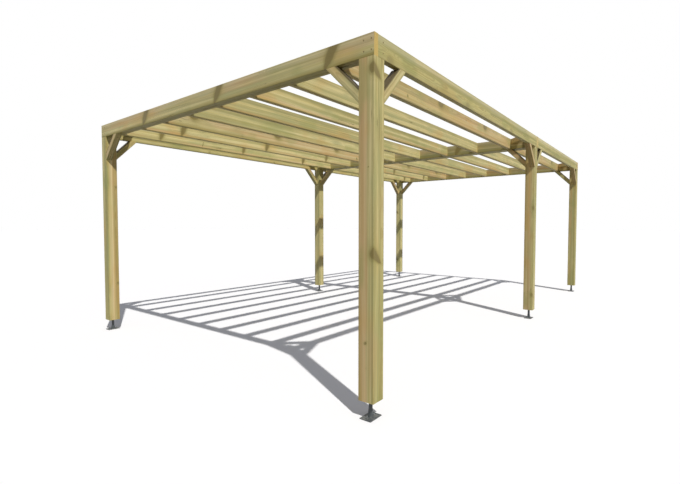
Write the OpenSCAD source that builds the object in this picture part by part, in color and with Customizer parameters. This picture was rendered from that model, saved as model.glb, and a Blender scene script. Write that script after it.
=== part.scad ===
/* [Overall] */
// Width of the frame over its side beams, front to back
width = 4000; // [3000:50:5500]
// Length of the left bay, outside face to outside face
bay_left = 4000; // [2500:50:5500]
// Length of the right bay, outside face to outside face
bay_right = 3060; // [2000:10:5500]
// Height of the top edge of the beams above the ground
height = 2500; // [2100:10:3200]

/* [Posts] */
// Side of the square posts
post = 120; // [112:1:150]
// Height of the posts' lower ends above the ground
post_lift = 120; // [90:1:200]
// Radius of the eased edges that run along every timber
edge_r = 3; // [1:0.5:8]

/* [Beams and rafters] */
// Thickness of the side beams and cross boards
beam_t = 45; // [35:1:50]
// Depth of the side beams and cross boards, which stand on edge
beam_h = 145; // [95:1:245]
// Thickness of the rafters
rafter_t = 45; // [30:1:80]
// Depth of the rafters, whose top edges are level with the beams
rafter_h = 145; // [95:1:245]
// Number of rafters in each bay
rafter_count = 8; // [2:1:12]
// Distance from the outer face of a side beam to the middle of the nearest rafter
rafter_edge = 355; // [345:1:500]

/* [Braces] */
// Side of the square section of the braces
brace = 65; // [45:1:80]
// Distance that a brace reaches along the post and along the beam
brace_reach = 280; // [200:5:600]
// Clearance between a corner brace, which lies level in a corner of a bay, and the first rafter
corner_gap = 17.5; // [5:0.5:40]

/* [Feet] */
// Length of a foot plate, along the bays
plate_x = 135; // [110:1:200]
// Width of a foot plate, front to back
plate_y = 90; // [60:1:200]
// Thickness of a foot plate
plate_t = 6; // [4:0.5:12]
// Radius of a foot plate's corners
plate_r = 4; // [1:0.5:12]
// Diameter of a foot's rod
rod_d = 27; // [16:0.5:40]
// Depth to which the rod goes up into the post
rod_in = 100; // [40:5:300]
// Gap all round between the rod and its hole in the post
rod_gap = 0.3; // [0.1:0.1:2]
// Diameter of a foot's cone where it meets the plate
cone_d = 44; // [41:0.5:56]
// Height of the cone above the plate
cone_h = 60; // [20:1:70]
// Diameter of the holes for the anchor bolts
hole_d = 12; // [8:0.5:16]
// Distance between the two anchor bolt holes of a plate
hole_pitch = 84; // [76:1:94]

/* [Hidden] */
arc_steps = 3;
round_fn = 64;
// How far a cut runs past the face it opens
over = 1;

x_left = -(bay_left + bay_right) / 2;
x_join = x_left + bay_left;
x_right = -x_left;
y_front = -width / 2;
y_back = width / 2;
z_under = height - beam_h;

// The rows of posts across the bays: name, left face of the posts, and where the notch for the
// two cross boards starts within the post
post_rows = [
    ["left", x_left, 0],
    ["middle", x_join - post, post - 2 * beam_t],
    ["right", x_right - post, post - 2 * beam_t],
];
// The long sides: name, front face of the posts, and where the notch for the side beam starts
sides = [["front", y_front, 0], ["back", y_back - post, post - beam_t]];
// The bays: name and the two planes between which the bay's cross boards lie
bays = [["left", x_left, x_join], ["right", x_join, x_right]];
// The cross boards: name, left face, and whether the board runs over the ends of the side beams
cross_boards = [
    ["cross_left_outer", x_left, true],
    ["cross_left_inner", x_left + beam_t, false],
    ["cross_middle_left_inner", x_join - 2 * beam_t, false],
    ["cross_middle_left_outer", x_join - beam_t, true],
    ["cross_middle_right_outer", x_join, true],
    ["cross_middle_right_inner", x_join + beam_t, false],
    ["cross_right_inner", x_right - 2 * beam_t, false],
    ["cross_right_outer", x_right - beam_t, true],
];
rafter_pitch = (width - 2 * rafter_edge) / (rafter_count - 1);
// Distance that a corner brace reaches along the side beam and along the cross board
corner_reach = rafter_edge - rafter_t / 2 - beam_t - corner_gap;

// Outline of a rectangle from the origin to [w, h], with rounded corners
function eased(w, h, r) = [
    for (corner = [0:3], step = [0:arc_steps])
        let (
            turn = 180 + 90 * (corner + step / arc_steps),
            cx = corner == 1 || corner == 2 ? w - r : r,
            cy = corner >= 2 ? h - r : r
        )
        [cx + r * cos(turn), cy + r * sin(turn)]
];

// A timber along X, its lower front left corner at the origin
module timber_x(length, t, h) {
    rotate([90, 0, 90])
        linear_extrude(length)
            polygon(eased(t, h, edge_r));
}

// A timber along Y, its lower front left corner at the origin
module timber_y(length, t, h) {
    translate([0, length, 0])
        rotate([90, 0, 0])
            linear_extrude(length)
                polygon(eased(t, h, edge_r));
}

// A post: its top is notched for the cross boards and the side beam, so that a tongue stands up
// inside them, and a blind hole in its lower end takes the foot's rod
module post_timber(cross_notch, side_notch) {
    color("#c3b27a")
        difference() {
            translate([0, 0, post_lift])
                linear_extrude(height - post_lift)
                    polygon(eased(post, post, edge_r));
            translate([cross_notch, -over, z_under])
                cube([2 * beam_t, post + 2 * over, beam_h + over]);
            translate([-over, side_notch, z_under])
                cube([post + 2 * over, beam_t, beam_h + over]);
            translate([post / 2, post / 2, post_lift - over])
                cylinder(h = rod_in + over, d = rod_d + 2 * rod_gap, $fn = round_fn);
        }
}

// A foot: a plate with two anchor bolt holes, and a rod that rises from a cone into the post
module foot() {
    color("#4b5052")
        difference() {
            union() {
                translate([-plate_x / 2, -plate_y / 2, 0])
                    linear_extrude(plate_t)
                        polygon(eased(plate_x, plate_y, plate_r));
                translate([0, 0, plate_t])
                    cylinder(h = cone_h, d1 = cone_d, d2 = rod_d, $fn = round_fn);
                cylinder(h = post_lift + rod_in, d = rod_d, $fn = round_fn);
            }
            for (way = [-1, 1])
                translate([way * hole_pitch / 2, 0, -over])
                    cylinder(h = plate_t + 2 * over, d = hole_d, $fn = round_fn);
        }
}

// A side beam, which stands between the outer cross boards of its bay
module side_beam(bay) {
    color("#bda96a")
        translate([bay[1] + beam_t, 0, z_under])
            timber_x(bay[2] - bay[1] - 2 * beam_t, beam_t, beam_h);
}

// A cross board: an outer one covers the ends of the side beams, an inner one stands between them
module cross_board(outer) {
    inset = outer ? 0 : beam_t;
    color("#b59f63")
        translate([0, y_front + inset, z_under])
            timber_y(width - 2 * inset, beam_t, beam_h);
}

// A rafter, which stands between the inner cross boards of its bay
module rafter(bay, number) {
    centre = y_front + rafter_edge + (number - 1) * rafter_pitch;
    color("#c0ad70")
        translate([bay[1] + 2 * beam_t, centre - rafter_t / 2, height - rafter_h])
            timber_x(bay[2] - bay[1] - 4 * beam_t, rafter_t, rafter_h);
}

// A brace in the XZ plane: the post's face is at x = 0, the beam's underside at z = 0
module brace_bar(reach) {
    middle = reach - brace / sqrt(2);
    intersection() {
        translate([0, 0, -reach])
            cube([reach, brace, reach]);
        translate([0, 0, -middle])
            rotate([0, 45, 0])
                translate([-brace / 2, 0, -brace])
                    linear_extrude(middle * sqrt(2) + 2 * brace)
                        polygon(eased(brace, brace, edge_r));
    }
}

// The braces along a side beam on one side of a post: way is 1 to its right, -1 to its left
module side_braces(left_face, way) {
    x = way > 0 ? left_face + post : left_face;
    for (y = [y_front, y_back - brace])
        translate([x, y, z_under])
            if (way > 0) brace_bar(brace_reach);
            else translate([0, brace, 0]) rotate(180) brace_bar(brace_reach);
}

// The two braces under a cross beam, with their left faces at x
module cross_braces(x) {
    translate([x + brace, y_front + post, z_under])
        rotate(90)
            brace_bar(brace_reach);
    translate([x, y_back - post, z_under])
        rotate(-90)
            brace_bar(brace_reach);
}

// The corner braces of a bay, which lie level between its side beams and inner cross boards with
// their tops at the height of the beams' top edges
module corner_braces(bay) {
    xs = [bay[1] + 2 * beam_t, bay[2] - 2 * beam_t];
    ys = [y_front + beam_t, y_back - beam_t];
    corners = [[xs[0], ys[0]], [xs[1], ys[0]], [xs[1], ys[1]], [xs[0], ys[1]]];
    color("#b8a266")
        for (i = [0:3])
            translate([corners[i][0], corners[i][1], height - brace])
                rotate(90 * i)
                    rotate([90, 0, 0])
                        brace_bar(corner_reach);
}

// All braces on the posts of one row
module braces(row) {
    left_face = row[1];
    at_right_face = row[0] != "left";
    color("#b8a266") {
        if (row[0] != "right") side_braces(left_face, 1);
        if (row[0] != "left") side_braces(left_face, -1);
        cross_braces(at_right_face ? left_face + post - brace : left_face);
    }
}

for (s = sides, p = post_rows)
    translate([p[1], s[1], 0]) post_timber(p[2], s[2]);
for (s = sides, p = post_rows)
    translate([p[1] + post / 2, s[1] + post / 2, 0]) foot();
for (s = sides, b = bays)
    translate([0, s[1] + s[2], 0]) side_beam(b);
for (c = cross_boards)
    translate([c[1], 0, 0]) cross_board(c[2]);
for (b = bays, i = [1:rafter_count])
    rafter(b, i);
for (p = post_rows)
    braces(p);
for (b = bays)
    corner_braces(b);
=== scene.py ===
"""Looks of the freestanding pergola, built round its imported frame, in the order in which it is put up."""

import math
import random

import bmesh
import bpy
import numpy as np
from mathutils import Matrix, Vector


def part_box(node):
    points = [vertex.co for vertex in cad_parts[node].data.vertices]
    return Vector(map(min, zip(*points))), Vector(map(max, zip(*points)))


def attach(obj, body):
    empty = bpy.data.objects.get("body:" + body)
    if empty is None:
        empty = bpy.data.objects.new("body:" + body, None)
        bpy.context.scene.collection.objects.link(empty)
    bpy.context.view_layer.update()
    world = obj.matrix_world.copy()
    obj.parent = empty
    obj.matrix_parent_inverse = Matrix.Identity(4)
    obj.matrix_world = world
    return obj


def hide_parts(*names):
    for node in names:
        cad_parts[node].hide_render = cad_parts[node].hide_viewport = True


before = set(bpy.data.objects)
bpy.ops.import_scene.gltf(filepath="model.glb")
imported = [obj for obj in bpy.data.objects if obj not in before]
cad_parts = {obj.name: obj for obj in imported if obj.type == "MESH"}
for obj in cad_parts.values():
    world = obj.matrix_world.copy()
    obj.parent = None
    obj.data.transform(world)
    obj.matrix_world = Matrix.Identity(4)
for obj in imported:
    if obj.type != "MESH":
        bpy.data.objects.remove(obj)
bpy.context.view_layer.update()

# ------------------------------------------------
# Feet. Each post stands on a steel foot: a plate cut from 6 mm sheet, a turned cone welded to it
# and a rod that runs up into the post. The whole foot is blasted and powder-coated dark grey.

ROWS = ("left", "middle", "right")
SIDES = ("front", "back")
CORNERS = [(side, row) for side in SIDES for row in ROWS]

PLATE_THICK = 0.006
PLATE_CORNER = 0.004
PLATE_EDGE = 0.0008
ROD_RADIUS = 0.0135
CONE_RADIUS = 0.022
CONE_TOP = 0.066
CONE_START = 0.0035
CONE_RUNOUT = ((0.0009, -0.006), (0.0003, -0.002), (0.0, 0.002))
ROD_EASE = 0.0015
SUNK = 0.001
WELD_RADIUS = 0.0032
WELD_START, WELD_OUT, WELD_UP, WELD_FLAT = 0.12, 0.35, 0.0009, 0.8
WELD_STEPS = 8
RIPPLES = 26
RIPPLE_HIGH = 0.00045
HOLE_RADIUS = 0.006
HOLE_SPREAD = 0.042
HOLE_STEPS = 32
OUTLINE_STEPS = 5
ROUND_STEPS = 48


class Wire:
    """A socket in a node tree. A sum written on wires adds its Math nodes."""

    def __init__(self, nodes, socket):
        self.nodes, self.socket = nodes, socket

    def math(self, operation, *others):
        return self.nodes.add("ShaderNodeMath", {"operation": operation}, dict(enumerate((self, *others))))

    def __add__(self, other):
        return self.math("ADD", other)

    def __sub__(self, other):
        return self.math("SUBTRACT", other)

    def __mul__(self, other):
        return self.math("MULTIPLY", other)

    def __truediv__(self, other):
        return self.math("DIVIDE", other)

    def __rsub__(self, other):
        return self.nodes.add("ShaderNodeMath", {"operation": "SUBTRACT"}, {0: other, 1: self})

    __radd__ = __add__

    def also(self, name):
        """Another output of the same node."""
        return Wire(self.nodes, self.socket.node.outputs[name])


class Nodes:
    """A node tree as it is written, for a finish or for a shape."""

    def __init__(self, tree):
        self.tree = tree
        tree.nodes.clear()

    def add(self, kind, settings=None, sockets=None, out=0):
        """A node of this kind: its settings are set first, then the values or wires of its sockets."""
        node = self.tree.nodes.new(kind)
        for key, value in (settings or {}).items():
            setattr(node, key, value)
        for key, value in (sockets or {}).items():
            if isinstance(value, Wire):
                self.tree.links.new(value.socket, node.inputs[key])
            else:
                node.inputs[key].default_value = value
        return Wire(self, node.outputs[out]) if len(node.outputs) else node

    def blend(self, share, first, second, how="MIX"):
        """Two colours mixed."""
        return self.add(
            "ShaderNodeMix",
            {"data_type": "RGBA", "blend_type": how, "clamp_factor": True},
            {0: share, 6: first, 7: second},
            out=2,
        )

    def step(self, value, start, end, low=0.0, high=1.0):
        """A soft step from low to high as the value goes from start to end."""
        return self.add(
            "ShaderNodeMapRange",
            {"interpolation_type": "SMOOTHSTEP", "clamp": True},
            {0: value, 1: start, 2: end, 3: low, 4: high},
        )

    def vector(self, x=0.0, y=0.0, z=0.0):
        return self.add("ShaderNodeCombineXYZ", None, {0: x, 1: y, 2: z})

    def noise(self, where, scale=1.0, detail=2.0, rough=0.5, out=0):
        return self.add(
            "ShaderNodeTexNoise",
            {"noise_dimensions": "3D", "normalize": True},
            {"Vector": where, "Scale": scale, "Detail": detail, "Roughness": rough},
            out=out,
        )

    def bump(self, height, depth, strength):
        return self.add("ShaderNodeBump", None, {"Height": height, "Distance": depth, "Strength": strength})


def tint(code):
    """A colour written as six hex digits, as the linear numbers that a socket holds."""
    parts = [int(code[i : i + 2], 16) / 255 for i in (0, 2, 4)]
    linear = [c / 12.92 if c <= 0.04045 else ((c + 0.055) / 1.055) ** 2.4 for c in parts]
    return (*linear, 1.0)


def finish_material(name):
    """A new material with its empty node sheet."""
    material = bpy.data.materials.new(name)
    material.use_nodes = True
    return material, Nodes(material.node_tree)


def close_material(nodes, **sockets):
    """The surface shader of a finish, with what feeds its sockets."""
    named = {key.replace("_", " "): value for key, value in sockets.items()}
    shader = nodes.add("ShaderNodeBsdfPrincipled", None, named)
    nodes.add("ShaderNodeOutputMaterial", None, {"Surface": shader})


def powder_coat():
    """Satin powder coat: a fine orange-peel skin, lighter where dust and paving grit lie on it."""
    material, n = finish_material("powder_coat_dark_grey")
    place = n.add("ShaderNodeTexCoord", out="Object")
    peel = n.noise(place, 900.0, 2.0)
    patch = n.noise(place, 38.0, 4.0, 0.62)
    low = n.add("ShaderNodeSeparateXYZ", None, {0: place}, out="Z")
    dust = n.step(low, 0.030, 0.004) * n.step(patch, 0.40, 0.66)
    coat = n.blend(n.step(patch, 0.35, 0.7), tint("474c4e"), tint("565b5d"))
    close_material(
        n,
        Base_Color=n.blend(dust * 0.45, coat, tint("8d8a80")),
        Roughness=n.step(patch, 0.2, 0.8, 0.40, 0.52) + dust * 0.25,
        Normal=n.bump(peel, 0.00012, 0.6),
    )
    return material


def put_in_scene(name, data):
    """A new object that holds this mesh, lamp or camera."""
    made = bpy.data.objects.new(name, data)
    bpy.context.scene.collection.objects.link(made)
    return made


def place_mesh(mesh, name, slot, *nodes):
    """A finished mesh as a piece of the pergola, standing for these nodes of the frame."""
    piece = put_in_scene(name, mesh)
    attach(piece, "root")
    if nodes:
        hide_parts(*nodes)


def rounded_outline(half_x, half_y, radius):
    """Points round a rectangle with rounded corners."""
    points = []
    for turn, (sx, sy) in enumerate(((1, 1), (-1, 1), (-1, -1), (1, -1))):
        for i in range(OUTLINE_STEPS + 1):
            angle = math.pi / 2 * (turn + i / OUTLINE_STEPS)
            x, y = sx * (half_x - radius), sy * (half_y - radius)
            points.append((x + radius * math.cos(angle), y + radius * math.sin(angle)))
    return points


def ring_of(mesh, points):
    return [mesh.verts.new(p) for p in points]


def bridge(mesh, lower, upper):
    """Faces between two rings that run anticlockwise seen from above. Either may be a single point."""
    count = max(len(lower), len(upper))
    for i in range(count):
        j = (i + 1) % count
        corners = [ring[k % len(ring)] for ring, k in ((lower, i), (lower, j), (upper, j), (upper, i))]
        mesh.faces.new(list(dict.fromkeys(corners)))


def foot_mesh(cx, cy, half_x, half_y, top):
    """A foot: the plate with eased edges and two holes, the cone, the rod and the bead of weld."""
    mesh = bmesh.new()
    levels = [(PLATE_EDGE, 0.0), (0.0, PLATE_EDGE)]
    levels += [(0.0, PLATE_THICK - PLATE_EDGE), (PLATE_EDGE, PLATE_THICK)]
    rings = [
        ring_of(mesh, [(x, y, z) for x, y in rounded_outline(half_x - i, half_y - i, PLATE_CORNER - i)])
        for i, z in levels
    ]
    for lower, upper in zip(rings, rings[1:]):
        bridge(mesh, lower, upper)
    turns = np.linspace(0, -2 * math.pi, HOLE_STEPS, endpoint=False)
    for way in (-1, 1):
        rim = [(way * HOLE_SPREAD + HOLE_RADIUS * math.cos(a), HOLE_RADIUS * math.sin(a)) for a in turns]
        bridge(mesh, *(ring_of(mesh, [(x, y, z) for x, y in rim]) for z in (0.0, PLATE_THICK)))
    for z in (0.0, PLATE_THICK):
        edges = [e for e in mesh.edges if all(abs(v.co.z - z) < 1e-6 for v in e.verts)]
        edges = [e for e in edges if len(e.link_faces) == 1]
        made = bmesh.ops.triangle_fill(mesh, edges=edges, use_beauty=True, normal=(0, 0, 1 if z else -1))
        for face in made["geom"]:
            if isinstance(face, bmesh.types.BMFace) and (face.normal.z > 0) != (z > 0):
                face.normal_flip()
    profile = [(0.0, SUNK), (CONE_RADIUS, SUNK), (CONE_RADIUS, PLATE_THICK + SUNK)]
    weld = range(len(profile), len(profile) + WELD_STEPS + 1)
    for i in range(WELD_STEPS + 1):
        angle = math.pi * (i / WELD_STEPS - WELD_START)
        out = CONE_RADIUS + WELD_RADIUS * WELD_OUT + WELD_RADIUS * math.cos(angle)
        profile.append((out, PLATE_THICK + WELD_UP + WELD_RADIUS * math.sin(angle) * WELD_FLAT))
    slope = (CONE_RADIUS - ROD_RADIUS) / (CONE_TOP - PLATE_THICK)
    start = PLATE_THICK + CONE_START
    profile.append((CONE_RADIUS - slope * (start - PLATE_THICK), start))
    profile += [(ROD_RADIUS + out, CONE_TOP + up) for out, up in CONE_RUNOUT]
    profile += [(ROD_RADIUS, top - ROD_EASE), (ROD_RADIUS - ROD_EASE, top), (0.0, top)]
    rings = []
    for k, (radius, z) in enumerate(profile):
        turns = [2 * math.pi * i / ROUND_STEPS for i in range(ROUND_STEPS if radius else 1)]
        ripple = RIPPLE_HIGH if k in weld else 0.0
        reach = [radius + ripple * math.sin(a * RIPPLES) for a in turns]
        rings.append(ring_of(mesh, [(r * math.cos(a), r * math.sin(a), z) for r, a in zip(reach, turns)]))
    for lower, upper in zip(rings, rings[1:]):
        bridge(mesh, lower, upper)
    bmesh.ops.translate(mesh, verts=mesh.verts, vec=(cx, cy, 0))
    made = bpy.data.meshes.new("foot")
    mesh.to_mesh(made)
    mesh.free()
    made.shade_smooth()
    made.set_sharp_from_angle(angle=math.radians(38))
    return made


coat = powder_coat()
for side, row in CORNERS:
    node = f"foot_{side}_{row}"
    low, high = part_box(node)
    centre = (low.x + high.x) / 2, (low.y + high.y) / 2
    mesh = foot_mesh(*centre, (high.x - low.x) / 2, (high.y - low.y) / 2, high.z)
    mesh.materials.append(coat)
    place_mesh(mesh, f"steel_{node}", "foot_steel", node)

# ------------------------------------------------
# Anchors. Two M10 anchors hold each plate down on the paving: the stud comes up through the hole
# and carries a washer and a hexagon nut, all zinc plated and gone dull outdoors.

STUD_RADIUS = 0.005
STUD_TOP = 0.024
WASHER_RADIUS = 0.0105
WASHER_THICK = 0.002
NUT_RADIUS = 0.0098
NUT_HIGH = 0.008


def new_recipe(name, sizes, vectors=()):
    """A Geometry Nodes tree that takes a mesh, these sizes and vectors and a finish; its node sheet."""
    tree = bpy.data.node_groups.new(name, "GeometryNodeTree")
    kinds = {"Geometry": "Geometry", "Finish": "Material"}
    kinds.update(dict.fromkeys(sizes, "Float"))
    kinds.update(dict.fromkeys(vectors, "Vector"))
    for title, kind in kinds.items():
        tree.interface.new_socket(title, in_out="INPUT", socket_type="NodeSocket" + kind)
    tree.interface.new_socket("Geometry", in_out="OUTPUT", socket_type="NodeSocketGeometry")
    nodes = Nodes(tree)
    return tree, nodes, nodes.add("NodeGroupInput")


def end_recipe(nodes, shape, material):
    """Instances made real, the material set, and the tree's output."""
    real = nodes.add("GeometryNodeRealizeInstances", None, {0: shape})
    done = nodes.add("GeometryNodeSetMaterial", None, {"Geometry": real, "Material": material})
    nodes.add("NodeGroupOutput", None, {0: done})


def follow(recipe, base, name, **values):
    """The plain mesh that a recipe makes from a base mesh and these input values."""
    holder = put_in_scene(name, base)
    modifier = holder.modifiers.new("recipe", "NODES")
    modifier.node_group = recipe
    for item in recipe.interface.items_tree:
        key = item.name.replace(" ", "_").lower()
        if item.in_out == "INPUT" and key in values:
            modifier[item.identifier] = values[key]
    graph = bpy.context.evaluated_depsgraph_get()
    mesh = bpy.data.meshes.new_from_object(holder.evaluated_get(graph), depsgraph=graph)
    holder.modifiers.remove(modifier)
    bpy.data.objects.remove(holder)
    mesh.name = name
    return mesh


def spots(points, ways=None):
    """A base mesh that is only points, each with the way out of the surface it sits on."""
    base = bpy.data.meshes.new("spots")
    base.from_pydata([tuple(p) for p in points], [], [])
    if ways is not None:
        out = base.attributes.new("way_out", "FLOAT_VECTOR", "POINT")
        out.data.foreach_set("vector", np.array(ways, np.float32).ravel())
    return base


def turned(nodes, radius, depth, sides, at, top=None):
    """A cylinder or cone that stands on a height."""
    sockets = {"Vertices": sides, "Depth": depth, "Radius Bottom": radius, "Radius Top": top or radius}
    shape = nodes.add("GeometryNodeMeshCone", {"fill_type": "NGON"}, sockets)
    return nodes.add("GeometryNodeTransform", None, {0: shape, "Translation": nodes.vector(0.0, 0.0, at)})


def joined(nodes, *shapes):
    """Several shapes as one."""
    node = nodes.tree.nodes.new("GeometryNodeJoinGeometry")
    for shape in shapes:
        nodes.tree.links.new(shape.socket, node.inputs[0])
    return Wire(nodes, node.outputs[0])


def set_on(nodes, points, shape, turn):
    """The shape, turned, on each of the points."""
    sockets = {"Points": points, "Instance": shape, "Rotation": turn}
    return nodes.add("GeometryNodeInstanceOnPoints", None, sockets)


def swept(nodes, outline, start, end):
    """A bar with this outline, which runs up along Z from start to end."""
    ends = {"Start": nodes.vector(0.0, 0.0, start), "End": nodes.vector(0.0, 0.0, end)}
    line = nodes.add("GeometryNodeCurvePrimitiveLine", None, ends)
    sockets = {"Curve": line, "Profile Curve": outline, "Fill Caps": True}
    return nodes.add("GeometryNodeCurveToMesh", None, sockets)


def less(nodes, solid, cuts):
    """The solid with the cuts taken out of it."""
    how = {"operation": "DIFFERENCE", "solver": "EXACT"}
    return nodes.add("GeometryNodeMeshBoolean", how, {"Mesh 1": solid, "Mesh 2": cuts})


def anchor_recipe():
    """A stud with its washer and nut, on each point."""
    sizes = (
        "Stud Radius", "Stud Top", "Washer Radius", "Washer Thick", "Nut Radius", "Nut High", "Plate Top"
    )
    tree, n, given = new_recipe("anchor", sizes)
    stud, stud_top, wide, washer, across, high, plate = (given.also(size) for size in sizes)
    easing = washer * 0.25
    seat = plate + washer
    nut_ease, stud_ease = across * 0.12, stud * 0.3
    parts = [
        turned(n, wide, washer - easing, 32, plate),
        turned(n, wide, easing, 32, seat - easing, top=wide - easing),
        turned(n, across, high - nut_ease, 6, seat),
        turned(n, across, nut_ease, 6, seat + high - nut_ease, top=across * 0.9),
        turned(n, stud, stud_top - plate - stud_ease, 20, plate),
        turned(n, stud, stud_ease, 20, stud_top - stud_ease, top=stud * 0.7),
    ]
    sixth = {"Min": 0.0, "Max": math.pi / 3, "Seed": 4}
    turn = n.add("FunctionNodeRandomValue", {"data_type": "FLOAT"}, sixth, out=1)
    placed = set_on(n, given, joined(n, *parts), n.vector(0.0, 0.0, turn))
    end_recipe(n, placed, given.also("Finish"))
    return tree


def dull_zinc():
    """Zinc plate outdoors: soft grey, spangled with paler oxide and a little rust-brown bloom."""
    material, n = finish_material("zinc_plate_dull")
    place = n.add("ShaderNodeTexCoord", out="Object")
    oxide = n.noise(place, 320.0, 4.0, 0.6)
    patch = n.noise(place, 70.0, 3.0)
    colour = n.blend(n.step(oxide, 0.35, 0.7), tint("6d7173"), tint("8b8e8d"))
    close_material(
        n,
        Base_Color=n.blend(n.step(patch, 0.6, 0.75) * 0.4, colour, tint("6a5a48")),
        Metallic=0.85,
        Roughness=n.step(oxide, 0.3, 0.75, 0.38, 0.62),
        Normal=n.bump(oxide, 0.00008, 0.5),
    )
    return material


anchor_points = []
for side, row in CORNERS:
    low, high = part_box(f"foot_{side}_{row}")
    middle = (low + high) / 2
    anchor_points += [(middle.x + way * HOLE_SPREAD, middle.y, 0.0) for way in (-1, 1)]
anchors = follow(
    anchor_recipe(),
    spots(anchor_points),
    "anchors",
    stud_radius=STUD_RADIUS,
    stud_top=STUD_TOP,
    washer_radius=WASHER_RADIUS,
    washer_thick=WASHER_THICK,
    nut_radius=NUT_RADIUS,
    nut_high=NUT_HIGH,
    plate_top=PLATE_THICK,
    finish=dull_zinc(),
)
place_mesh(anchors, "anchor_bolts", "foot_steel")

# ------------------------------------------------
# Posts. Six posts of 120 x 120 mm pine, sawn from beside the heart at the front and round it at the
# back, planed, their arrises eased, and pressure treated. The head of each is notched for the boards
# and the beam, so that a tongue stands up inside them, and its foot is bored for the rod.

ARRIS = 0.003
BORE_RADIUS = 0.0138
BORE_DEEP = 0.100
BORE_STEPS = 32
CUT_PAST = 0.01
HEAD_RADIUS = 0.0050
HEAD_FACE = HEAD_RADIUS - 0.0002
SINK_RADIUS = 0.0062
SINK_DEEP = 0.0016
RECESS_SIDES = 20

SHEET_EDGE = 0.01
SHEET_GAP = 0.012
SHEET_STRIPS = 0.86
SHEET_END = 0.3

AXES = {"x": Vector((1, 0, 0)), "y": Vector((0, 1, 0)), "z": Vector((0, 0, 1))}
screw_spots = []


def stick_recipe():
    """A planed timber: a line swept with an eased rectangle, less the cuts that come as its geometry."""
    sizes = ("Length", "Breadth", "Depth", "Arris")
    tree, n, given = new_recipe("planed_timber", sizes, vectors=("Turn", "Centre"))
    length, breadth, depth, arris = (given.also(size) for size in sizes)
    outline = n.add(
        "GeometryNodeCurvePrimitiveQuadrilateral", {"mode": "RECTANGLE"}, {"Width": breadth, "Height": depth}
    )
    corner = {"Curve": outline, "Count": 4, "Radius": arris}
    eased = n.add("GeometryNodeFilletCurve", {"mode": "POLY"}, corner)
    half = length * 0.5
    solid = swept(n, eased, 0.0 - half, half)
    place = {0: solid, "Translation": given.also("Centre"), "Rotation": given.also("Turn")}
    laid = n.add("GeometryNodeTransform", None, place)
    end_recipe(n, less(n, laid, given), given.also("Finish"))
    return tree


class Cuts:
    """The solids that are taken out of one timber, in the frame's place."""

    def __init__(self):
        self.mesh = bmesh.new()

    def peg(self, at, out, radius, depth, top=None, sides=RECESS_SIDES):
        """A round hole from a surface point, against the way out; top is its radius outside."""
        made = bmesh.ops.create_cone(
            self.mesh, cap_ends=True, segments=sides, radius1=radius, radius2=top or radius, depth=depth * 2
        )
        turn = Vector((0, 0, 1)).rotation_difference(Vector(out)).to_matrix().to_4x4()
        bmesh.ops.transform(self.mesh, matrix=Matrix.Translation(Vector(at)) @ turn, verts=made["verts"])

    def prism(self, outline, low, high):
        """An upright prism over an outline in X and Y."""
        lower = ring_of(self.mesh, [(x, y, low) for x, y in outline])
        upper = ring_of(self.mesh, [(x, y, high) for x, y in outline])
        bridge(self.mesh, lower, upper)
        self.mesh.faces.new(lower[::-1])
        self.mesh.faces.new(upper)

    def slab(self, one, other):
        """A box between two opposite corners."""
        made = bmesh.ops.create_cube(self.mesh, size=1.0)
        size = [abs(c) for c in other - one]
        place = Matrix.Translation((one + other) / 2) @ Matrix.Diagonal((*size, 1.0))
        bmesh.ops.transform(self.mesh, matrix=place, verts=made["verts"])

    def screw(self, at, out):
        """A countersunk screw: its recess here, and its head with the screws."""
        self.peg(at, out, HEAD_FACE, SINK_DEEP, top=2 * SINK_RADIUS - HEAD_RADIUS)
        screw_spots.append((Vector(at), Vector(out)))

    def done(self):
        bmesh.ops.recalc_face_normals(self.mesh, faces=self.mesh.faces)
        mesh = bpy.data.meshes.new("cuts")
        self.mesh.to_mesh(mesh)
        self.mesh.free()
        return mesh


class Lie:
    """How a timber lies: its middle, its size and the three ways of its grain, breadth and depth."""

    def __init__(self, low, high, along):
        self.centre = (low + high) / 2
        self.ways = [AXES[a] for a in {"x": "xyz", "y": "yxz", "z": "zxy"}[along]]
        size = high - low
        self.length, self.breadth, self.depth = (abs(size.dot(w)) for w in self.ways)

    @classmethod
    def slanted(cls, centre, ways, length, breadth, depth):
        lie = cls.__new__(cls)
        lie.centre, lie.ways = Vector(centre), [Vector(w).normalized() for w in ways]
        lie.length, lie.breadth, lie.depth = length, breadth, depth
        return lie

    def turn(self):
        """The turn that takes a stick made along Z to its place."""
        grain, breadth, depth = self.ways
        if breadth.cross(depth).dot(grain) < 0:
            grain = -grain
        return Matrix((breadth, depth, grain)).transposed().to_euler()


recipe_stick = stick_recipe()


def numbers(data, key, width):
    found = np.empty(len(data) * width, np.float32)
    data.foreach_get(key, found)
    return found.reshape(-1, width).astype(float)


def write(mesh, name, kind, domain, values):
    key = {"FLOAT": "value", "FLOAT_VECTOR": "vector"}[kind]
    layer = mesh.attributes.new(name, kind, domain)
    layer.data.foreach_set(key, np.ascontiguousarray(values, np.float32).ravel())


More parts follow.
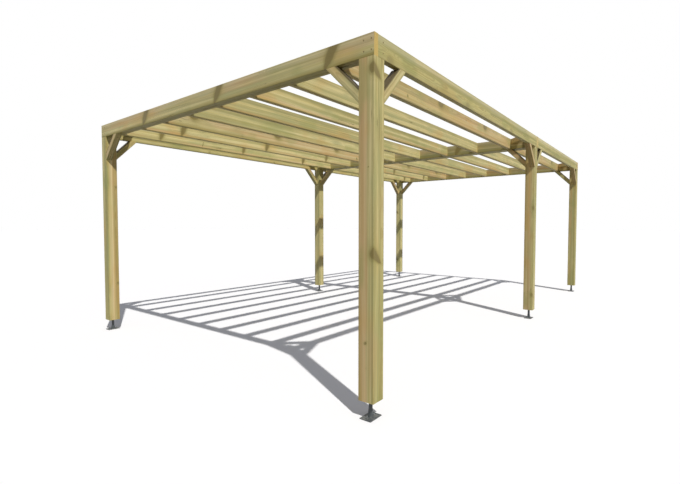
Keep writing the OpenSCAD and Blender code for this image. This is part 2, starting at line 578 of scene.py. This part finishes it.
def saw(lie, cuts, finish, name, growth, band=(0.0, 1.0)):
    """A timber's mesh, with its grain written on it.

    growth holds: pith, the heart's place from the middle across breadth and depth; up, 1 or -1, the
    way the tree grew; start, a place along the log of its own; whorl, (where a whorl leaves the
    heart, from the middle; spacing; turn of its branches); branch, (lean, knot radius, scatter);
    root, how far off the heart the branches spring, across breadth and depth; tone, (warmth,
    paleness, heart radius); wet, (how much darker the lower edge and underside are painted, partly
    for dampness and partly as painted shade, and how far up it reaches); ends, how far the end
    grain has yellowed; figure, (how dark the knots are, how dark the wood is where a face runs
    along the rings, how weathered the upper third is).
    band is the stretch of the finish's sheet, from low to high, that the timber is unrolled on.
    """
    mesh = follow(
        recipe_stick,
        cuts.done(),
        name,
        length=lie.length,
        breadth=lie.breadth,
        depth=lie.depth,
        arris=ARRIS,
        turn=tuple(lie.turn()),
        centre=tuple(lie.centre),
        finish=finish,
    )
    ways = np.array([tuple(w) for w in lie.ways])
    points = (numbers(mesh.vertices, "co", 3) - np.array(lie.centre)) @ ways.T
    grain = points - np.array([0.0, *growth["pith"]])
    grain[:, 0] = grain[:, 0] * growth["up"] + growth["start"]
    halves = np.array([lie.length, lie.breadth, lie.depth]) / 2
    write(mesh, "grain", "FLOAT_VECTOR", "POINT", grain)
    write(mesh, "inside", "FLOAT_VECTOR", "POINT", points + halves)
    whorl = (growth["start"] + growth["whorl"][0] * growth["up"], *growth["whorl"][1:])
    damp_and_shade_strength, wet_share = growth["wet"]
    same = {key: growth[key] for key in ("branch", "tone", "figure")}
    same.update(whorl=whorl, root=(*growth["root"], damp_and_shade_strength), section=(wet_share, lie.breadth, lie.depth))
    for key, value in same.items():
        write(mesh, key, "FLOAT_VECTOR", "POINT", np.tile(value, (len(mesh.vertices), 1)))

    faces = mesh.polygons
    normals = numbers(faces, "normal", 3) @ ways.T
    centres = (numbers(faces, "center", 3) - np.array(lie.centre)) @ ways.T
    sawn = np.abs(normals[:, 0]) > 0.6
    write(mesh, "end_grain", "FLOAT", "FACE", sawn * growth["ends"])

    totals = np.empty(len(faces), np.int32)
    faces.foreach_get("loop_total", totals)
    of_face = np.repeat(np.arange(len(faces)), totals)
    corner = np.empty(len(mesh.loops), np.int32)
    mesh.loops.foreach_get("vertex_index", corner)
    spot = points[corner]
    flat_b, flat_d = lie.breadth / 2 - ARRIS, lie.depth / 2 - ARRIS
    on_arris = (np.abs(centres[:, 1]) > flat_b) & (np.abs(centres[:, 2]) > flat_d)
    on_arris &= np.abs(normals[:, 0]) < 0.05
    smooth = np.zeros(spot.shape)
    for axis, flat in ((1, flat_b), (2, flat_d)):
        smooth[:, axis] = np.sign(spot[:, axis]) * np.maximum(np.abs(spot[:, axis]) - flat, 0)
    length = np.linalg.norm(smooth, axis=1, keepdims=True)
    use = on_arris[of_face] & (length[:, 0] > ARRIS * 0.5)
    shown = np.where(use[:, None], smooth / np.maximum(length, 1e-9), normals[of_face])
    mesh.shade_smooth()
    mesh.normals_split_custom_set([tuple(v) for v in shown @ ways])

    # The four long faces lie on the sheet as strips, one over the other, and the ends above them.
    broadside = np.abs(normals[:, 1]) >= np.abs(normals[:, 2])
    long_face = np.where(broadside, np.where(normals[:, 1] > 0, 0, 1), np.where(normals[:, 2] > 0, 2, 3))
    here = np.where(sawn, 4 + (normals[:, 0] > 0), long_face)[of_face]
    unit = (SHEET_STRIPS - 4 * SHEET_GAP) / (2 * (lie.breadth + lie.depth))
    tall = [lie.depth, lie.depth, lie.breadth, lie.breadth]
    foot_of = [SHEET_GAP + i * SHEET_GAP + unit * sum(tall[:i]) for i in range(4)]
    across = np.array([2, 2, 1, 1, 1, 1])[here]
    value = spot[np.arange(len(spot)), across] + np.where(across == 2, lie.depth, lie.breadth) / 2
    u = SHEET_EDGE + (1 - 2 * SHEET_EDGE) * (spot[:, 0] / lie.length + 0.5)
    v = np.array(foot_of + [0, 0])[here] + value * unit
    cap = (1 - SHEET_STRIPS - 2 * SHEET_GAP) / max(lie.breadth, lie.depth)
    at_end = here >= 4
    shift = 2 * SHEET_EDGE + (here[at_end] - 4) * SHEET_END
    u[at_end] = shift + (spot[at_end, 2] + lie.depth / 2) * cap
    v[at_end] = SHEET_STRIPS + SHEET_GAP + (spot[at_end, 1] + lie.breadth / 2) * cap
    layer = mesh.uv_layers.new(name="OFBake", do_init=False)
    v = band[0] + v * (band[1] - band[0])
    layer.uv.foreach_set("vector", np.stack([u, v], axis=1).astype(np.float32).ravel())
    return mesh


def put_up(node, along, cuts, wood, slot, grown):
    """A timber of the frame, sawn and set in its place."""
    mesh = saw(Lie(*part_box(node), along), cuts, wood, f"{node}_mesh", grown)
    place_mesh(mesh, f"timber_{node}", slot, node)


RING_PITCH = 0.0042
KNOT_RING = 0.0021
PIN_LEAN = 1.25


def timber_wood(name, upper="dcd2b6", wet_colour="9a8c48"):
    """Treated pine as a solid: growth rings round the heart, branch knots that lean up out of it,
    warm heartwood, green sapwood, streaks of stain, fine checks, and end grain that drank more.
    upper is the colour to which the upper third of a lying timber has weathered, and the other
    colour that of the lower edge and underside, painted darker there partly for dampness and
    partly as painted shade; on the braces it is painted shade over the face towards the corner.
    """
    material, n = finish_material(name)

    def read(attribute):
        found = n.add("ShaderNodeAttribute", {"attribute_name": attribute}, out="Vector")
        parts = n.add("ShaderNodeSeparateXYZ", None, {0: found})
        return parts, parts.also("Y"), parts.also("Z")

    s, u0, v0 = read("grain")
    whorl_at, whorl_gap, whorl_turn = read("whorl")
    lean, knot_size, scatter = read("branch")
    root_u, root_v, damp_and_shade_strength = read("root")
    warm, pale, heart_radius = read("tone")
    _, in_breadth, in_depth = read("inside")
    wet_share, breadth, depth = read("section")
    knot_dark, flat_dark, aged = read("figure")
    sawn = n.add("ShaderNodeAttribute", {"attribute_name": "end_grain"}, out="Fac")

    def stain(along, across, detail=2.0, shift=0.0, rough=0.5):
        """A pattern drawn out along the grain: how fast it changes along and across, per metre."""
        return n.noise(n.vector(s * along + shift, u0 * across, v0 * across), 1.0, detail, rough)

    wander = n.add("ShaderNodeSeparateXYZ", None, {0: n.noise(n.vector(s * 0.7), 1.0, 1.0, out="Color")})
    u = u0 + (wander - 0.5) * 0.034
    v = v0 + (wander.also("Y") - 0.5) * 0.034
    radius = (u * u + v * v).math("SQRT")
    around = v.math("ARCTAN2", u)
    rings = radius + s * 0.0045 + (stain(1.1, 9.0) - 0.5) * 0.011 + (stain(5.0, 60.0) - 0.5) * 0.0016
    rings = rings + (stain(6.5, 7.0, 2.0, 43.0) - 0.5) * 0.010

    ragged = n.noise(n.vector(s * 30.0, u0 * 30.0, v0 * 30.0), 1.0, 2.0)

    def knots(at, turn, branches, grain_way, out_way, size, salt, u, v, scatter):
        """Distance from the nearest branch as a share of its radius, and the distance itself."""
        radius = (u * u + v * v).math("SQRT")
        around = v.math("ARCTAN2", u)
        along = (s - at).math("WRAP", whorl_gap * 0.5, whorl_gap * -0.5)
        number = ((s - at - along) / whorl_gap).math("ROUND")
        third = math.pi / branches
        swing = (around - turn).math("WRAP", third, -third)
        which = ((around - turn - swing) / (2 * third)).math("ROUND")
        chance = n.add(
            "ShaderNodeTexWhiteNoise",
            {"noise_dimensions": "3D"},
            {"Vector": n.vector(number + salt, which, pale * 37.0)},
            out="Color",
        )
        luck = n.add("ShaderNodeSeparateXYZ", None, {0: chance})
        swing = swing + (luck - 0.5) * scatter
        along = along + (luck.also("Y") - 0.5) * scatter * 0.16
        out = radius * swing.math("COSINE")
        beside = radius * swing.math("SINE")
        over = along * out_way - out * grain_way
        reach = along * grain_way + out * out_way
        gap_from = (over * over + beside * beside).math("SQRT") + (ragged - 0.5) * 0.010
        grown = n.step(reach, -0.002, 0.130, 0.12, 1.0)
        big = size * grown * (luck.also("Z") * scatter * 0.8 + 1.0 - scatter * 0.4)
        return gap_from / big.math("MAXIMUM", 0.0008), gap_from

    ways = lean.math("COSINE"), lean.math("SINE")
    main, main_gap = knots(
        whorl_at, whorl_turn, 1, *ways, knot_size, 0.0, u0 - root_u, v0 - root_v, scatter
    )
    ways = math.cos(PIN_LEAN), math.sin(PIN_LEAN)
    pins, pin_gap = knots(
        whorl_at + whorl_gap * 0.5, whorl_turn + 0.9, 2, *ways, knot_size * 0.16, 9.0, u, v, 1.4
    )
    near = main.math("MINIMUM", pins)
    knot = n.step(near, 1.20, 0.65)
    rim = n.step(near, 1.18, 1.0) * n.step(near, 0.72, 0.96)
    collar = n.step(near, 2.1, 0.9)
    halo = n.step(near, 4.2, 1.0)
    knot_rings = (main_gap.math("MINIMUM", pin_gap) * (2 * math.pi / KNOT_RING)).math("SINE") * 0.5 + 0.5

    phase = (rings + n.step(near, 3.6, 0.9) * 0.011) / RING_PITCH
    part = phase.math("FRACT")
    grown = n.add(
        "ShaderNodeTexWhiteNoise",
        {"noise_dimensions": "1D"},
        {"W": phase.math("FLOOR") + pale * 11.0},
        out="Value",
    )
    late = n.step(part, 0.42, 0.86) * n.step(part, 1.0, 0.93) * (grown * 0.6 + 0.4)

    years = n.noise(n.vector(rings * 62.0, pale * 9.0), 1.0, 2.0)
    streak = stain(0.35, 24.0, 3.0, 0.0, 0.55)
    vein = stain(0.6, 62.0, 2.0, 31.0)
    patch = stain(1.5, 6.0, 2.0, 7.0)
    blotch = stain(3.1, 15.0, 2.0, 19.0)
    flush = stain(2.0, 4.5, 2.0, 57.0)
    fibre = stain(7.0, 520.0)
    heart = n.step(radius + (streak - 0.5) * 0.03 + (patch - 0.5) * 0.06 - heart_radius, 0.012, -0.012)
    warmth = n.step(heart * 0.75 + (patch - 0.5) * 1.5 + warm * 0.6 - 0.46, 0.0, 0.8)

    sap = n.blend(n.step(streak, 0.40, 0.60), tint("beb780"), tint("e8daa0"))
    sap = n.blend(n.step(vein, 0.50, 0.68) * 0.5, sap, tint("cebd7c"))
    sap = n.blend(n.step(blotch, 0.52, 0.70) * 0.5, sap, tint("b8ba85"))
    core = n.blend(n.step(streak, 0.34, 0.66), tint("cfae7a"), tint("e8d4a5"))
    core = n.blend(n.step(vein, 0.50, 0.70) * 0.5, core, tint("d6b069"))
    core = n.blend(n.step(blotch, 0.55, 0.72) * 0.35, core, tint("dab08d"))
    colour = n.blend(warmth, sap, core)
    colour = n.blend(n.step(flush, 0.54, 0.70) * 0.38, colour, tint("d9ae66"))
    colour = n.blend(n.step(flush, 0.46, 0.32) * 0.40, colour, tint("a4aa6a"))
    colour = n.blend(n.step(years, 0.46, 0.62) * 0.60, colour, (0.82, 0.81, 0.66, 1.0), "MULTIPLY")
    colour = n.blend(late * 0.42, colour, tint("a0834b"))
    wide_face = u0.math("ABSOLUTE").math("MAXIMUM", v0.math("ABSOLUTE") * (breadth / depth))
    facing = wide_face / (u0 * u0 + v0 * v0).math("SQRT")
    flat = n.step(facing + (vein - 0.5) * 0.3, 0.74, 0.97) * flat_dark
    colour = n.blend(flat, colour, (0.74, 0.75, 0.60, 1.0), "MULTIPLY")
    high_up = n.step(in_depth / depth + (blotch - 0.5) * 0.5, 0.55, 0.88)
    colour = n.blend(high_up * aged, colour, tint(upper))
    shade = (fibre - 0.5) * 0.18 + 1.085 + (pale - 0.5) * 0.24 + (vein - 0.5) * 0.30
    colour = n.blend(1.0, colour, n.vector(shade, shade, shade), "MULTIPLY")

    side_gap = in_breadth.math("MINIMUM", breadth - in_breadth)
    edge_gap = side_gap.math("MAXIMUM", in_depth.math("MINIMUM", depth - in_depth))
    # Close to each arris, short of the rounded arris itself, the colour is painted darker.
    arris_itself = n.step(edge_gap, 0.004, 0.001)
    near_arris_dark = n.step(edge_gap + (blotch - 0.5) * 0.02, 0.016, 0.002) * (1.0 - arris_itself)
    # Towards the lower edge and on the underside the colour is painted darker and olive: partly for
    # dampness, partly as painted shade on the underside. With the braces' very dark colour it is painted
    # shade over the face towards the corner.
    wet = n.step(in_depth / depth + (blotch - 0.5) * 0.2 * wet_share, wet_share, 0.02) * damp_and_shade_strength
    colour = n.blend(near_arris_dark * 0.34, colour, tint("98905a"))
    colour = n.blend(wet, colour, tint(wet_colour))

    colour = n.blend(halo * 0.30, colour, tint("b3a664"))
    colour = n.blend(collar * (knot_dark * 0.40 + 0.26), colour, tint("98894c"))
    inside = n.blend(knot_rings * 0.5, tint("91814b"), tint("766737"))
    colour = n.blend(knot * knot_dark, colour, inside)
    colour = n.blend(rim * knot_dark * 0.24, colour, tint("5a4c28"))

    line = stain(0.9, 42.0, 1.0, 3.0)
    where = stain(1.7, 3.0, 1.0)
    check = n.step((line - 0.5).math("ABSOLUTE"), 0.0075, 0.002) * n.step(where, 0.56, 0.66)
    check = check * (1.0 - sawn)
    colour = n.blend(check * 0.7, colour, tint("5f4f2b"))

    kerf = n.noise(n.vector(u0 * 210.0, v0 * 40.0, s * 3.0), 1.0, 2.0)
    ends = n.blend(late * 0.7, tint("e6c878"), tint("b08a48"))
    ends = n.blend(n.step(kerf, 0.35, 0.75) * 0.35, ends, tint("cbab66"))
    split = n.noise(n.vector(around * 9.0, radius * 14.0, 0.5), 1.0, 1.0)
    ray = n.step((split - 0.5).math("ABSOLUTE"), 0.012, 0.003) * n.step(radius, 0.09, 0.02)
    ends = n.blend(ray * 0.6, ends, tint("6a4c22"))
    colour = n.blend(sawn, colour, ends)

    height = late * 0.5 + (fibre - 0.5) * 0.5 + knot * 0.3 - check * 2.2 - sawn * (kerf * 0.8 + ray)
    rough = 0.62 + (fibre - 0.5) * 0.16 - knot * 0.14 - late * 0.06 + sawn * 0.16 + check * 0.1
    close_material(
        n,
        Base_Color=colour,
        Roughness=rough,
        Specular_IOR_Level=0.32,
        Normal=n.bump(height, 0.00042, 0.75),
    )
    return material


rng = random.Random(120)


def growth(pith, tone, **more):
    """How the tree grew where a timber was sawn from it. Each has a stretch of log of its own."""
    usual = {
        "up": 1,
        "whorl": (0.0, 1.2, 0.0),
        "branch": (0.95, 0.014, 0.5),
        "root": (0.0, 0.0),
        "wet": (0.0, 0.1),
        "figure": (0.9, 0.0, 0.0),
        "ends": 1.0,
    }
    return {**usual, **more, "pith": pith, "tone": tone, "start": rng.uniform(4.0, 90.0)}


POST_GROWTH = {
    ("front", "left"): {
        "pith": (0.030, 0.085),
        "whorl": (-0.30, 1.18, math.radians(185)),
        "branch": (0.89, 0.026, 0.10),
        "root": (0.022, -0.133),
        "tone": (0.90, 0.66, 0.128),
        "figure": (0.9, 0.50, 0.0),
    },
    ("front", "middle"): {
        "pith": (-0.010, 0.060),
        "whorl": (0.12, 1.18, math.radians(185)),
        "branch": (0.89, 0.017, 0.15),
        "root": (0.062, -0.102),
        "tone": (0.80, 0.42, 0.100),
        "figure": (0.4, 0.55, 0.0),
    },
    ("front", "right"): {
        "pith": (0.000, 0.060),
        "whorl": (-0.45, 1.18, math.radians(100)),
        "branch": (0.95, 0.017, 0.20),
        "root": (-0.040, -0.034),
        "tone": (0.32, 0.50, 0.078),
        "figure": (0.9, 0.55, 0.0),
    },
    ("back", "left"): {
        "pith": (0.030, -0.030),
        "whorl": (0.40, 1.18, math.radians(265)),
        "branch": (0.95, 0.017, 0.20),
        "root": (0.020, 0.020),
        "tone": (0.45, 0.70, 0.078),
        "figure": (0.9, 0.68, 0.0),
    },
    ("back", "middle"): {
        "pith": (-0.016, -0.012),
        "whorl": (-0.10, 1.18, math.radians(5)),
        "branch": (0.89, 0.019, 0.20),
        "root": (-0.035, 0.055),
        "tone": (0.50, 0.55, 0.030),
    },
    ("back", "right"): {
        "pith": (0.014, -0.008),
        "whorl": (0.25, 1.18, math.radians(95)),
        "branch": (0.89, 0.019, 0.20),
        "root": (-0.060, -0.035),
        "tone": (0.35, 0.68, 0.030),
    },
}
post_wood = timber_wood("treated_pine_posts")
under_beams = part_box("beam_front_left")[0].z
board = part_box("cross_left_outer")[1].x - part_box("cross_left_outer")[0].x
for side, row in CORNERS:
    low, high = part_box(f"post_{side}_{row}")
    if row == "left":
        x_out, x_in, x_far = low.x - CUT_PAST, low.x + 2 * board, high.x + CUT_PAST
    else:
        x_out, x_in, x_far = high.x + CUT_PAST, high.x - 2 * board, low.x - CUT_PAST
    if side == "front":
        y_out, y_in, y_far = low.y - CUT_PAST, low.y + board, high.y + CUT_PAST
    else:
        y_out, y_in, y_far = high.y + CUT_PAST, high.y - board, low.y - CUT_PAST
    outline = [(x_out, y_out), (x_far, y_out), (x_far, y_in), (x_in, y_in), (x_in, y_far), (x_out, y_far)]
    middle = (low + high) / 2
    cuts = Cuts()
    cuts.prism(outline, under_beams, high.z + CUT_PAST)
    cuts.peg((middle.x, middle.y, low.z), (0, 0, -1), BORE_RADIUS, BORE_DEEP, sides=BORE_STEPS)
    put_up(f"post_{side}_{row}", "z", cuts, post_wood, "post_timber", growth(**POST_GROWTH[side, row]))

# ------------------------------------------------
# Side beams. Four boards of 45 x 145 mm on edge, one along each side of each bay, butted between
# the outer cross boards and screwed through their outer faces into the tongues of the posts.

TONGUE_MIDDLE = 0.015
SCREW_DROPS = (0.037, 0.107)

beam_wood = timber_wood("treated_pine_beams")
screw_heights = [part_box("beam_front_left")[1].z - drop for drop in SCREW_DROPS]
tongues = {}
for row in ROWS:
    low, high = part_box(f"post_front_{row}")
    tongues[row] = high.x - TONGUE_MIDDLE if row == "left" else low.x + TONGUE_MIDDLE
for side in SIDES:
    out = -1 if side == "front" else 1
    for bay, rows in (("left", ("left", "middle")), ("right", ("right",))):
        node = f"beam_{side}_{bay}"
        low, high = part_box(node)
        face = low.y if side == "front" else high.y
        cuts = Cuts()
        for row in rows:
            for z in screw_heights:
                cuts.screw((tongues[row], face, z), (0, out, 0))
        grown = growth(
            (-0.052 * out, -0.01),
            whorl=(-0.55, 1.3, math.radians(180 if out < 0 else 0)),
            branch=(0.95, 0.030, 0.3),
            root=(0.0, -0.045),
            tone=(0.42, 0.42, 0.020),
            wet=(0.40, 0.20),
            figure=(0.30, 0.9, 0.25),
        )
        put_up(node, "x", cuts, beam_wood, "beam_timber", grown)

# ------------------------------------------------
# Cross boards. Eight boards of 45 x 145 mm on edge, doubled over each row of posts. The outer one
# of each pair covers the ends of the side beams and is screwed to them and to the tongues.

SCREW_INSETS = (0.0225, 0.0825)
CROSS = ["left_outer", "left_inner", "middle_left_inner", "middle_left_outer"]
CROSS += ["middle_right_outer", "middle_right_inner", "right_inner", "right_outer"]

for place in CROSS:
    node = f"cross_{place}"
    low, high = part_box(node)
    cuts = Cuts()
    out = -1 if place.startswith(("left", "middle_left")) else 1
    if place in ("left_outer", "right_outer"):
        face = low.x if out < 0 else high.x
        for z in screw_heights:
            for inset in SCREW_INSETS:
                for y in (low.y + inset, high.y - inset):
                    cuts.screw((face, y, z), (out, 0, 0))
    grown = growth(
        (0.012 * out, 0.10),
        up=-1,
        whorl=(-0.293 + CROSS.index(place) * 0.37, 1.28, math.radians(90)),
        branch=(1.05, 0.034, 0.06),
        root=(0.0, -0.205),
        # The inner boards get a very low paleness, which paints them darker than the outer ones: painted
        # shade, for where they stand in shade between the rafters.
        tone=(0.45, -0.90, 0.12) if "inner" in place else (0.0, 0.60, 0.12),
        wet=(0.72, 0.30),
        figure=(0.9, 0.0, 0.25),
        ends=1.0 if place == "left_outer" else 0.45,
    )
    put_up(node, "y", cuts, beam_wood, "beam_timber", grown)

# ------------------------------------------------
# Rafters. Sixteen boards of 45 x 145 mm on edge, eight to a bay, butted between the inner cross
# boards with their top edges level, and screwed from behind before the boards are doubled.

EDGE = {"wet": (0.60, 0.08), "figure": (0.9, 0.0, 0.20)}
HEARTWOOD = {"pith": (0.05, 0.05), "root": (0.0, 0.015), "branch": (0.75, 0.045, 0.15), **EDGE}
CLEAR = {**EDGE, "pith": (0.012, -0.13), "branch": (1.2, 0.0, 0.1), "figure": (0.9, 0.0, 0.32)}
BANDED = {"pith": (-0.012, -0.11), "branch": (1.25, 0.027, 0.15), **EDGE}
RAFTER_GROWTH = [
    {**HEARTWOOD, "whorl": (-0.415, 1.234, math.radians(180)), "tone": (0.50, 0.50, 0.25)},
    {**CLEAR, "tone": (0.30, 0.55, 0.08)},
    {**CLEAR, "tone": (0.45, 0.50, 0.10)},
    {**CLEAR, "tone": (0.35, 0.45, 0.09)},
    {**CLEAR, "tone": (0.30, 0.60, 0.08)},
    {**HEARTWOOD, "whorl": (-0.41, 1.24, math.radians(180)), "tone": (0.65, 0.52, 0.25)},
    {**BANDED, "whorl": (-0.13, 1.33, math.radians(90)), "tone": (0.30, 0.70, 0.08)},
    {**BANDED, "whorl": (-0.175, 1.306, math.radians(90)), "tone": (0.25, 0.80, 0.08)},
]
rafter_wood = timber_wood("treated_pine_rafters", upper="8f8350")
for bay in ("left", "right"):
    for number, kind in enumerate(RAFTER_GROWTH, start=1):
        put_up(f"rafter_{bay}_{number}", "x", Cuts(), rafter_wood, "rafter_timber", growth(**kind))

# ------------------------------------------------
# Braces. Fourteen struts of 65 x 65 mm from post to beam at 45 degrees, and eight that lie level
# across the corners of the bays. Each is cut to the two faces it meets and screwed at either end.

BRACE = 0.065
BRACE_SCREW = 0.145
CORNER_GAP = 0.0175
SLAB_BACK = 0.4
SLAB_FROM, SLAB_TO = 0.05, 0.6
# The braces' lower-edge colour is a very dark brown, and the growth below lays it over the whole face
# towards the corner: painted shade, for the shade in the corner between the timbers that each brace crosses.
brace_wood = timber_wood("treated_pine_braces", wet_colour="463a20")
brace_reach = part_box("braces_left")[1].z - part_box("braces_left")[0].z


def strut_mesh(corner, one, other, reach, name, band):
    """A strut across the corner between two timbers. The corner lies in the middle of the strut's
    breadth, and the two ways run from it along the timbers that the strut is cut to.
    """
    axis = reach - BRACE / math.sqrt(2)
    centre = corner + (one + other) * (axis / 2)
    outward = (one + other).normalized()
    across = one.cross(other)
    lie = Lie.slanted(centre, (one - other, across, outward), (axis + BRACE) * math.sqrt(2), BRACE, BRACE)
    cuts = Cuts()
    wide = across * BRACE
    for ahead, beside in ((one, other), (other, one)):
        cuts.slab(corner + beside * SLAB_TO - ahead * SLAB_BACK - wide, corner + beside * SLAB_FROM + wide)
    for end in (-1, 1):
        cuts.screw(centre + outward * (BRACE / 2) + lie.ways[0] * (end * BRACE_SCREW), outward)
    grown = growth(
        (rng.uniform(-0.03, 0.03), rng.uniform(-0.03, 0.03)),
        whorl=(rng.uniform(-0.6, 0.6), 1.2, rng.uniform(0, 6)),
        branch=(1.1, 0.012, 0.6),
        tone=(rng.uniform(0.5, 1.0), rng.uniform(0.0, 0.4), 0.045),
        # Nearly full strength over the face towards the corner: painted shade.
        wet=(0.92, 0.22),
    )
    return saw(lie, cuts, brace_wood, name, grown, band)


def as_one(meshes, name):
    """Several meshes joined into the first, with what is written on them kept."""
    holders = [put_in_scene(f"{name}_{i}", mesh) for i, mesh in enumerate(meshes)]
    with bpy.context.temp_override(
        active_object=holders[0], selected_objects=holders, selected_editable_objects=holders
    ):
        bpy.ops.object.join()
    mesh = holders[0].data
    bpy.data.objects.remove(holders[0])
    return mesh


def place_struts(node, struts, reach):
    """The struts of a node, given by their corners and ways, as one piece."""
    share = 1 / len(struts)
    meshes = [
        strut_mesh(*strut, reach, f"strut_{node}_{i}", (i * share, (i + 1) * share))
        for i, strut in enumerate(struts)
    ]
    place_mesh(as_one(meshes, f"struts_{node}"), f"timber_{node}", "brace_timber", node)


for row in ROWS:
    struts = []
    for side in SIDES:
        low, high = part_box(f"post_{side}_{row}")
        front = side == "front"
        y_mid = low.y + BRACE / 2 if front else high.y - BRACE / 2
        if row != "right":
            struts.append((Vector((high.x, y_mid, under_beams)), AXES["x"], -AXES["z"]))
        if row != "left":
            struts.append((Vector((low.x, y_mid, under_beams)), -AXES["x"], -AXES["z"]))
        x_mid = low.x + BRACE / 2 if row == "left" else high.x - BRACE / 2
        inner = high.y if front else low.y
        struts.append((Vector((x_mid, inner, under_beams)), AXES["y"] * (1 if front else -1), -AXES["z"]))
    place_struts(f"braces_{row}", struts, brace_reach)

for bay in ("left", "right"):
    node = f"corner_braces_{bay}"
    low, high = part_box(node)
    corner_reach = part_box(f"rafter_{bay}_1")[0].y - low.y - CORNER_GAP
    z_mid = (low.z + high.z) / 2
    struts = []
    for x, x_way in ((low.x, AXES["x"]), (high.x, -AXES["x"])):
        for y, y_way in ((low.y, AXES["y"]), (high.y, -AXES["y"])):
            struts.append((Vector((x, y, z_mid)), x_way, y_way))
    place_struts(node, struts, corner_reach)

# ------------------------------------------------
# Screws. Countersunk timber screws with a six-lobe drive, coated against the treatment's copper,
# driven until the head sits just under the face. The coat has gone a dull, pale bronze.

HEAD_HIGH = 0.0012
HEAD_EASE = 0.0003
DRIVE_WIDE = 0.0022
DRIVE_NARROW = 0.0016
DRIVE_DEEP = 0.0009
DRIVE_PAST = 0.001


def screw_recipe():
    """A screw's head with its drive, on each point and facing the way out."""
    sizes = ("Head Radius", "Head High", "Ease", "Drive Wide", "Drive Narrow", "Drive Deep", "Sink")
    tree, n, given = new_recipe("screw_head", sizes)
    radius, high, ease, drive_wide, drive_narrow, deep, sink = (given.also(size) for size in sizes)
    base = 0.0 - sink
    blank = turned(n, radius, high, 16, base, top=radius - ease)
    lobes = {"Points": 6, "Inner Radius": drive_narrow, "Outer Radius": drive_wide}
    star = n.add("GeometryNodeCurveStar", None, lobes)
    drive = swept(n, star, base + high - deep, base + high + DRIVE_PAST)
    head = less(n, blank, n.add("GeometryNodeFlipFaces", None, {0: drive}))
    kind = {"data_type": "FLOAT_VECTOR"}
    way = n.add("GeometryNodeInputNamedAttribute", kind, {"Name": "way_out"}, out="Attribute")
    aim = n.add("FunctionNodeAlignRotationToVector", {"axis": "Z"}, {"Vector": way})
    end_recipe(n, set_on(n, given, head, aim), given.also("Finish"))
    return tree


def bronze_coat():
    """Organic coating over zinc: matt bronze, finely specked with a paler tone."""
    material, n = finish_material("screw_coat_bronze")
    place = n.add("ShaderNodeTexCoord", out="Object")
    speck = n.noise(place, 900.0, 3.0)
    close_material(
        n,
        Base_Color=n.blend(n.step(speck, 0.35, 0.7), tint("766845"), tint("94855a")),
        Metallic=0.45,
        Roughness=n.step(speck, 0.3, 0.7, 0.45, 0.6),
    )
    return material


screws = follow(
    screw_recipe(),
    spots([at for at, out in screw_spots], [tuple(out) for at, out in screw_spots]),
    "screws",
    head_radius=HEAD_FACE,
    head_high=HEAD_HIGH,
    ease=HEAD_EASE,
    drive_wide=DRIVE_WIDE,
    drive_narrow=DRIVE_NARROW,
    drive_deep=DRIVE_DEEP,
    sink=SINK_DEEP,
    finish=bronze_coat(),
)
place_mesh(screws, "screw_heads", "foot_steel")

# ------------------------------------------------
# Studio. A plain white floor under a soft even light from all round and one high lamp in front,
# to the left. The camera stands where the long side runs away to the right.


def seen_or_lit(n, seen, lit):
    """One colour for the camera, gloss and glass, and another for the light that bounces."""
    path = n.add("ShaderNodeLightPath", out="Is Camera Ray")
    shown = path.math("MAXIMUM", path.also("Is Glossy Ray"))
    shown = shown.math("MAXIMUM", path.also("Is Transmission Ray"))
    return n.blend(shown, lit, seen)


SKY_LOW = 0.48
SKY_HIGH = 0.22
SKY_TINT = (0.965, 1.01, 1.13)
FLOOR_REACH = 150.0
FLOOR_BOUNCE = (0.165, 0.166, 0.135, 1.0)
FLOOR_SEEN = (0.965, 0.958, 0.970, 1.0)
LAMP_POWER = 3.05
LAMP_COLOUR = (1.0, 0.985, 0.945)
LAMP_WIDE = math.radians(0.9)
LAMP_WAY = Vector((0.325, 0.638, -1.0))
EYE = (-5.7552, -3.5014, 1.2805)
EYE_TURN, EYE_TILT = math.radians(38.5915), math.radians(-2.2181)
LENS = 22.2024
SENSOR = 36.0
SIGHT = 400.0

floor_material, n = finish_material("studio_floor")
matt = n.add("ShaderNodeBsdfDiffuse", None, {"Color": seen_or_lit(n, FLOOR_SEEN, FLOOR_BOUNCE)})
n.add("ShaderNodeOutputMaterial", None, {"Surface": matt})
floor_mesh = bpy.data.meshes.new("floor")
edge = [(x * FLOOR_REACH, y * FLOOR_REACH, 0) for x, y in ((-1, -1), (1, -1), (1, 1), (-1, 1))]
floor_mesh.from_pydata(edge, [], [(0, 1, 2, 3)])
floor_mesh.materials.append(floor_material)
put_in_scene("studio_floor", floor_mesh)

world = bpy.data.worlds.new("studio")
bpy.context.scene.world = world
world.use_nodes = True
n = Nodes(world.node_tree)
aim = n.add("ShaderNodeTexCoord", out="Generated")
height = n.add("ShaderNodeSeparateXYZ", None, {0: aim}, out="Z")
level = n.step(height, 0.0, 0.8, SKY_LOW, SKY_HIGH)
sky = n.vector(*(level * part for part in SKY_TINT))
glow = n.add("ShaderNodeBackground", None, {"Color": seen_or_lit(n, (1, 1, 1, 1), sky)})
n.add("ShaderNodeOutputWorld", None, {"Surface": glow})

lamp_data = bpy.data.lights.new("high_lamp", "SUN")
lamp_data.energy = LAMP_POWER
lamp_data.color = LAMP_COLOUR
lamp_data.angle = LAMP_WIDE
lamp = put_in_scene("high_lamp", lamp_data)
lamp.rotation_euler = LAMP_WAY.to_track_quat("-Z", "Y").to_euler()

camera_data = bpy.data.cameras.new("camera")
camera_data.sensor_width = SENSOR
camera_data.lens = LENS
camera_data.clip_end = SIGHT
camera = put_in_scene("camera", camera_data)
flat = math.cos(EYE_TILT)
look = Vector((flat * math.cos(EYE_TURN), flat * math.sin(EYE_TURN), math.sin(EYE_TILT)))
camera.location = EYE
camera.rotation_euler = look.to_track_quat("-Z", "Y").to_euler()
bpy.context.scene.camera = camera
bpy.context.scene.view_settings.view_transform = "Standard"
